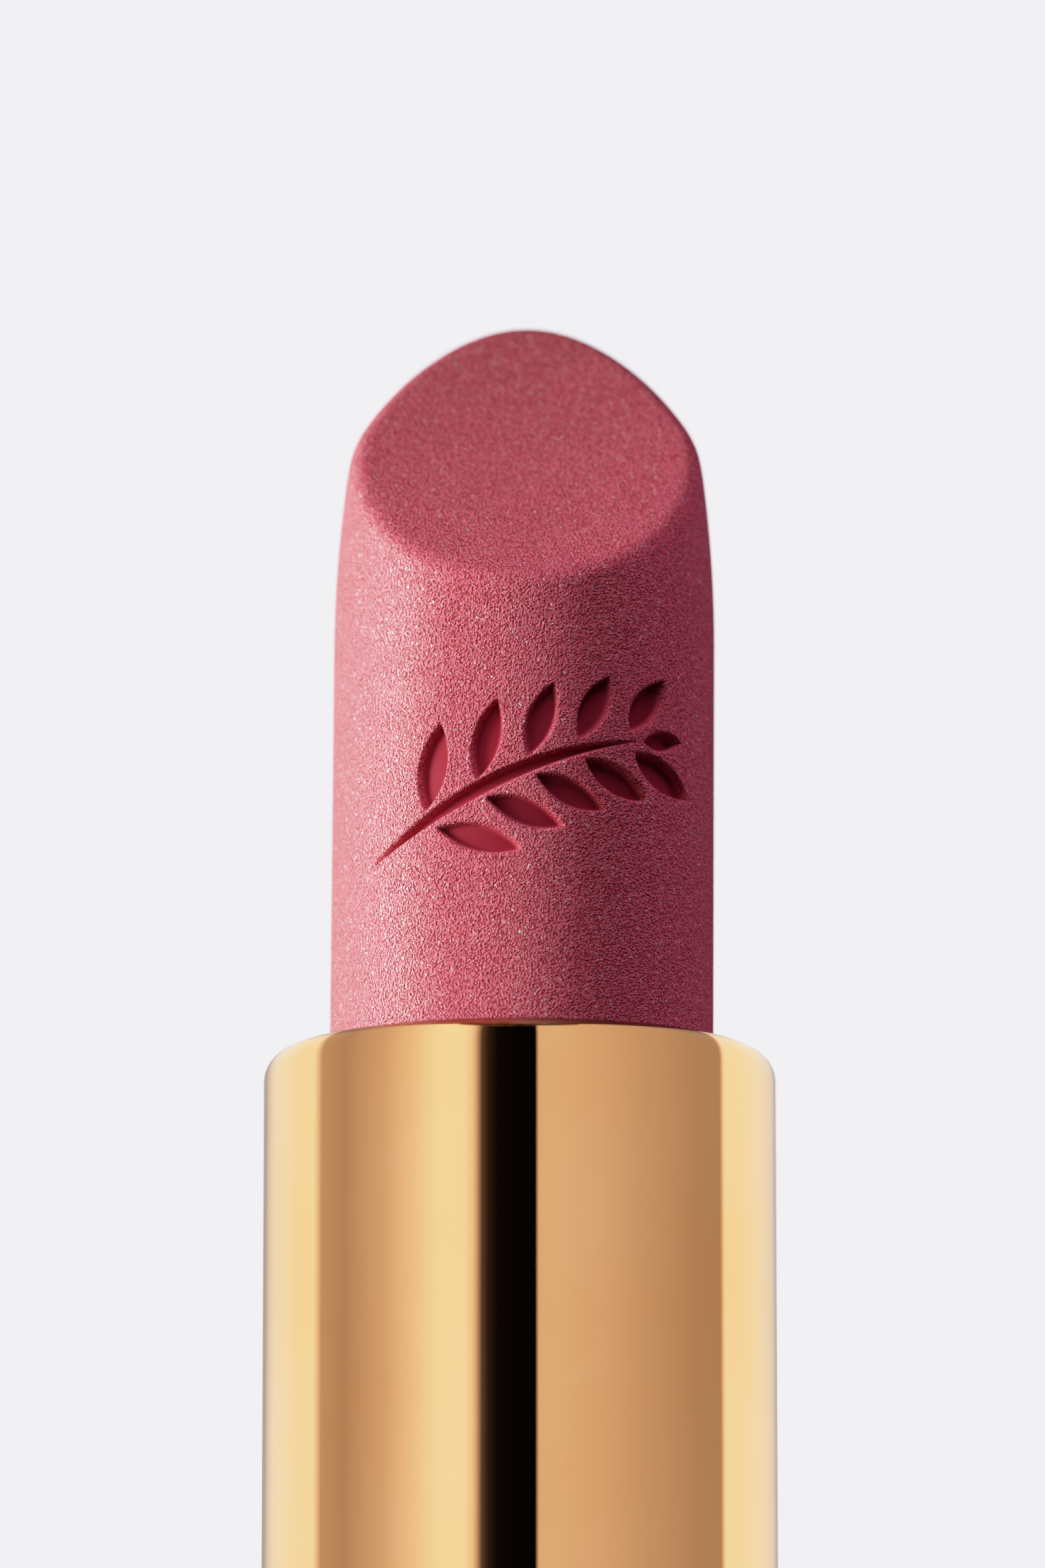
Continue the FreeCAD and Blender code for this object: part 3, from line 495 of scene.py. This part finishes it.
# ---------------------------------------------------------------- stage, light and camera
PALE = rgb(1.55, 1.47, 1.62)
AIR = rgb(0.006, 0.006, 0.007)
CAMERA_PITCH = math.radians(10.52)
CAMERA_SIDE, CAMERA_BACK, CAMERA_DROP = 0.083 * MM, 300 * MM, 47.14 * MM
FOCUS_FRONT, FOCUS_RISE = 5.2 * MM, 6 * MM
LAMP_DISTANCE = 0.45
KEY_TINT, FILL_TINT, GLEAM_TINT = (1.0, 1.05, 1.0), (1.0, 0.85, 1.15), (1.0, 1.02, 0.95)
CARD_GAIN = 1.8
CARD_WARM = rgb(1.0, 0.793, 0.672)
DOME_RADIUS, DOME_RINGS, DOME_SPOKES = 3.0, 12, 24
FLOOR_RADIUS, FLOOR_SIDES = 6.0, 96

# Studio cards round the case, as (degrees right of the camera, brightness as a share of CARD_GAIN).
CARD_RING = (
    (-180, 0.26), (-162, 0.25), (-156, 0.42), (-144, 0.78), (-130, 0.94), (-105.5, 0.97),
    (-100, 0.32), (-85, 0.26), (-63, 0.43), (-49, 0.66), (-36, 0.97), (-25, 0.97),
    (-21, 0.70), (-17.2, 0.055), (-14, 0.012), (-10, 0.002), (7.4, 0.0005), (8.4, 0.49), (15, 0.505),
    (36, 0.44), (56, 0.35), (85, 0.255), (101.8, 0.245), (104.6, 0.96), (122, 0.96),
    (134, 0.90), (146, 0.72), (156, 0.55), (164, 0.32), (180, 0.26),
)


def world_studio():
    """Camera rays see the pale backdrop, all other rays dim air."""
    s = Shader("studio", "worlds")
    air = s.add("Background", {"Color": AIR})
    pale = s.add("Background", {"Color": PALE})
    seen = s.add("LightPath").outputs["Is Camera Ray"]
    choice = s.add("MixShader", {0: seen, 1: air.outputs[0], 2: pale.outputs[0]})
    bpy.context.scene.world = s.close(choice, "OutputWorld")


def card_glow():
    """Studio cards that follow the slope of the metal that mirrors them to the camera.

    Their reflections then run straight up, over the rounded shoulder too. Above the camera's line of
    sight a card is found by the halfway vector, which is the mirroring metal's own normal.
    """
    s = Shader("card_dome")
    away = s.add("VectorMath", {0: s.place()}, operation="NORMALIZE").outputs[0]
    sight = (0.0, math.cos(CAMERA_PITCH), math.sin(CAMERA_PITCH))
    halfway = s.add("VectorMath", {0: away, 1: sight}, operation="SUBTRACT").outputs[0]
    halfway = s.add("VectorMath", {0: halfway}, operation="NORMALIZE").outputs[0]
    flat = s.add("SeparateXYZ", {0: away}).outputs
    tall = s.add("SeparateXYZ", {0: halfway}).outputs
    level_turn = s.math("ARCTAN2", flat[0], s.math("MULTIPLY", flat[1], -1.0))
    raised_turn = s.math("MULTIPLY", s.math("ARCTAN2", tall[0], s.math("MULTIPLY", tall[1], -1.0)), 2.0)
    raised = s.math("GREATER_THAN", flat[2], math.sin(CAMERA_PITCH))
    turn = s.math("ADD", s.math("MULTIPLY", raised_turn, raised),
                  s.math("MULTIPLY", level_turn, s.math("SUBTRACT", 1.0, raised)))
    ramp = s.add("ValToRGB", {0: s.remap(turn, -math.pi, math.pi, 0, 1)})
    fill_ramp(ramp.color_ramp, CARD_RING)
    behind = s.remap(s.math("ABSOLUTE", turn), 2.1, 2.9, 0, 1)
    colour = s.add("VectorMath", {0: ramp.outputs[0], 1: s.mix(behind, CARD_WARM, rgb(1, 1, 1))},
                   operation="MULTIPLY").outputs[0]
    fade = s.remap(tall[2], 0.72, 0.93, CARD_GAIN, CARD_GAIN * 0.15)
    return s.close(s.add("Emission", {"Color": colour, "Strength": fade}))


def fill_ramp(ramp, stops):
    ramp.interpolation = "LINEAR"
    while len(ramp.elements) > 1:
        ramp.elements.remove(ramp.elements[-1])
    for index, (degrees, level) in enumerate(stops):
        position = (degrees + 180.0) / 360.0
        element = ramp.elements[0] if index == 0 else ramp.elements.new(position)
        element.position = position
        element.color = rgb(level, level, level)


def globe_mesh(name, radius, rings, spokes):
    """A globe of flat faces, with a point at each pole."""
    points = [(0, 0, -radius)]
    for ring in range(1, rings):
        tilt = math.pi * ring / rings
        for spoke in range(spokes):
            turn = 2 * math.pi * spoke / spokes
            points.append((radius * math.sin(tilt) * math.cos(turn),
                           radius * math.sin(tilt) * math.sin(turn), -radius * math.cos(tilt)))
    points.append((0, 0, radius))
    faces = []
    last = 1 + (rings - 2) * spokes
    for spoke in range(spokes):
        after = (spoke + 1) % spokes
        faces.append((0, 1 + after, 1 + spoke))
        faces.append((len(points) - 1, last + spoke, last + after))
        for ring in range(rings - 2):
            a = 1 + ring * spokes
            faces.append((a + spoke, a + after, a + spokes + after, a + spokes + spoke))
    mesh = bpy.data.meshes.new(name)
    mesh.from_pydata(points, [], faces)
    return mesh


def make_card_dome(receivers):
    """The cards as one far dome, seen only in the mirror of its receivers."""
    glow = card_glow()
    glow.cycles.emission_sampling = "NONE"
    dome = put("card_dome", globe_mesh("card_dome", DOME_RADIUS, DOME_RINGS, DOME_SPOKES))
    dome.data.materials.append(glow)
    dome.visible_camera = False
    dome.visible_diffuse = False
    dome.visible_shadow = False
    dome.visible_transmission = False
    light_only(dome, receivers)


def light_only(lamp, receivers):
    """Links a lamp to the pieces that it lights."""
    group = bpy.data.collections.new(lamp.name + "_receivers")
    for piece in receivers:
        group.objects.link(piece)
    lamp.light_linking.receiver_collection = group


def aim_lamp(lamp, azimuth, elevation):
    """Stands a lamp off, in degrees right of the camera and above the rim, looking at the rim."""
    turn, tilt = math.radians(azimuth), math.radians(elevation)
    away = Vector((math.sin(turn) * math.cos(tilt), -math.cos(turn) * math.cos(tilt), math.sin(tilt)))
    lamp.location = Vector((0, 0, rim_z)) + away * LAMP_DISTANCE
    lamp.rotation_euler = away.to_track_quat("Z", "Y").to_euler()


def soft_box(name, azimuth, elevation, power, tint, receivers, size=(0.14, 0.30)):
    """A soft box that lights its receivers only."""
    light = bpy.data.lights.new(name, "AREA")
    light.shape = "RECTANGLE"
    light.size, light.size_y = size
    light.energy = power
    light.color = tint
    lamp = put(name, light)
    aim_lamp(lamp, azimuth, elevation)
    lamp.visible_camera = False
    light_only(lamp, receivers)
    return lamp


def light_matte(pieces):
    """Lamps for the matte pieces; the polished gold mirrors the cards instead.

    Keys and rims give the pieces their colour only, and the gleams only the sheen on their left side.
    """
    for name, azimuth, elevation, power, tint in (
            ("key_back", -90, 0, 1.80, KEY_TINT),
            ("key", -74, 0, 4.45, KEY_TINT),
            ("key_front", -50, 0, 0.60, KEY_TINT),
            ("rim", 115, 8, 0.76, FILL_TINT),
            ("rim_back", 150, 8, 0.15, FILL_TINT)):
        soft_box(name, azimuth, elevation, power, tint, pieces).visible_glossy = False
    soft_box("fill", 0, 8, 0.05, FILL_TINT, pieces)
    soft_box("top", 20, 64, 1.05, FILL_TINT, pieces)
    for name, azimuth, power in (("gleam", -118, 11.5), ("gleam_front", -80, 7.0)):
        soft_box(name, azimuth, 0, power, GLEAM_TINT, pieces).visible_diffuse = False


def light_floor(floor):
    """A wide lamp straight above the floor."""
    wash = soft_box("floor_wash", 0, 90, 22.0, KEY_TINT, [floor], (0.9, 0.9))
    wash.location = (0, 0, 0.9)
    wash.rotation_euler = (0, 0, 0)


def make_floor():
    """Pale disc that melts into the backdrop away from the case."""
    s = Shader("floor_pale")
    away = s.axis_distance(s.add("SeparateXYZ", {0: s.place()}).outputs)
    far = s.remap(away, 0.08, 0.5, 0, 1)
    seen = s.math("MULTIPLY", far, s.add("LightPath").outputs["Is Camera Ray"])
    grain = s.noise(s.place(), 900, 3.0)
    matte = s.add("BsdfDiffuse", {"Color": s.mix(grain, rgb(0.80, 0.79, 0.80), rgb(0.83, 0.82, 0.83))})
    glow = s.add("Emission", {"Color": PALE, "Strength": 1.0})
    surface = s.close(s.add("MixShader", {0: seen, 1: matte.outputs[0], 2: glow.outputs[0]}))
    surface.cycles.emission_sampling = "NONE"
    corners = []
    for side in range(FLOOR_SIDES):
        turn = 2 * math.pi * side / FLOOR_SIDES
        corners.append((FLOOR_RADIUS * math.cos(turn), FLOOR_RADIUS * math.sin(turn), foot_z))
    mesh = bpy.data.meshes.new("floor")
    mesh.from_pydata(corners, [], [tuple(range(FLOOR_SIDES))])
    mesh.materials.append(surface)
    floor = put("floor", mesh)
    floor.visible_glossy = False
    floor.visible_diffuse = False
    return floor


def make_camera():
    """Long lens, from low in front, looking up past the sleeve's rim."""
    camera = bpy.data.cameras.new("camera")
    camera.sensor_width = 36.0
    camera.lens = 223.0
    camera.clip_start = 0.01
    camera.clip_end = 50.0
    eye = put("camera", camera)
    eye.location = (CAMERA_SIDE, -CAMERA_BACK, rim_z - CAMERA_DROP)
    eye.rotation_euler = Euler((math.pi / 2 + CAMERA_PITCH, 0, 0))
    bpy.context.scene.camera = eye
    focus = put("focus", None)
    focus.location = (0, -FOCUS_FRONT, rim_z + FOCUS_RISE)
    camera.dof.use_dof = True
    camera.dof.focus_object = focus
    camera.dof.aperture_fstop = 40.0


def tone_curve():
    """Soft shoulder of film: straight up to mid tones, then rolling off to white."""
    view = bpy.context.scene.view_settings
    view.view_transform = "Standard"
    view.look = "None"
    view.use_curve_mapping = True
    curves = view.curve_mapping
    white = 4.0
    curves.white_level = (white, white, white)
    shoulder = ((0.35, 0.35), (0.6, 0.555), (0.9, 0.725), (1.2, 0.82), (1.5, 0.875), (2.0, 0.935),
                (3.0, 0.98))
    line = curves.curves[3]
    for scene_level, shown in shoulder:
        line.points.new(scene_level / white, shown)
    curves.update()


# ---------------------------------------------------------------- assembly
paint_case()
stick = make_stick()
stick.data.materials.append(rose_stick("rose_stick"))
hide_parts("lipstick_bullet")
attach(stick, "carrier")

world_studio()
make_card_dome([piece for name, piece in nodes.items() if name != "lipstick_bullet"])
light_matte([stick] + [piece for piece in nodes.values() if "gold" not in piece.data.materials[0].name])
light_floor(make_floor())
make_camera()
tone_curve()

bpy.context.view_layer.update()
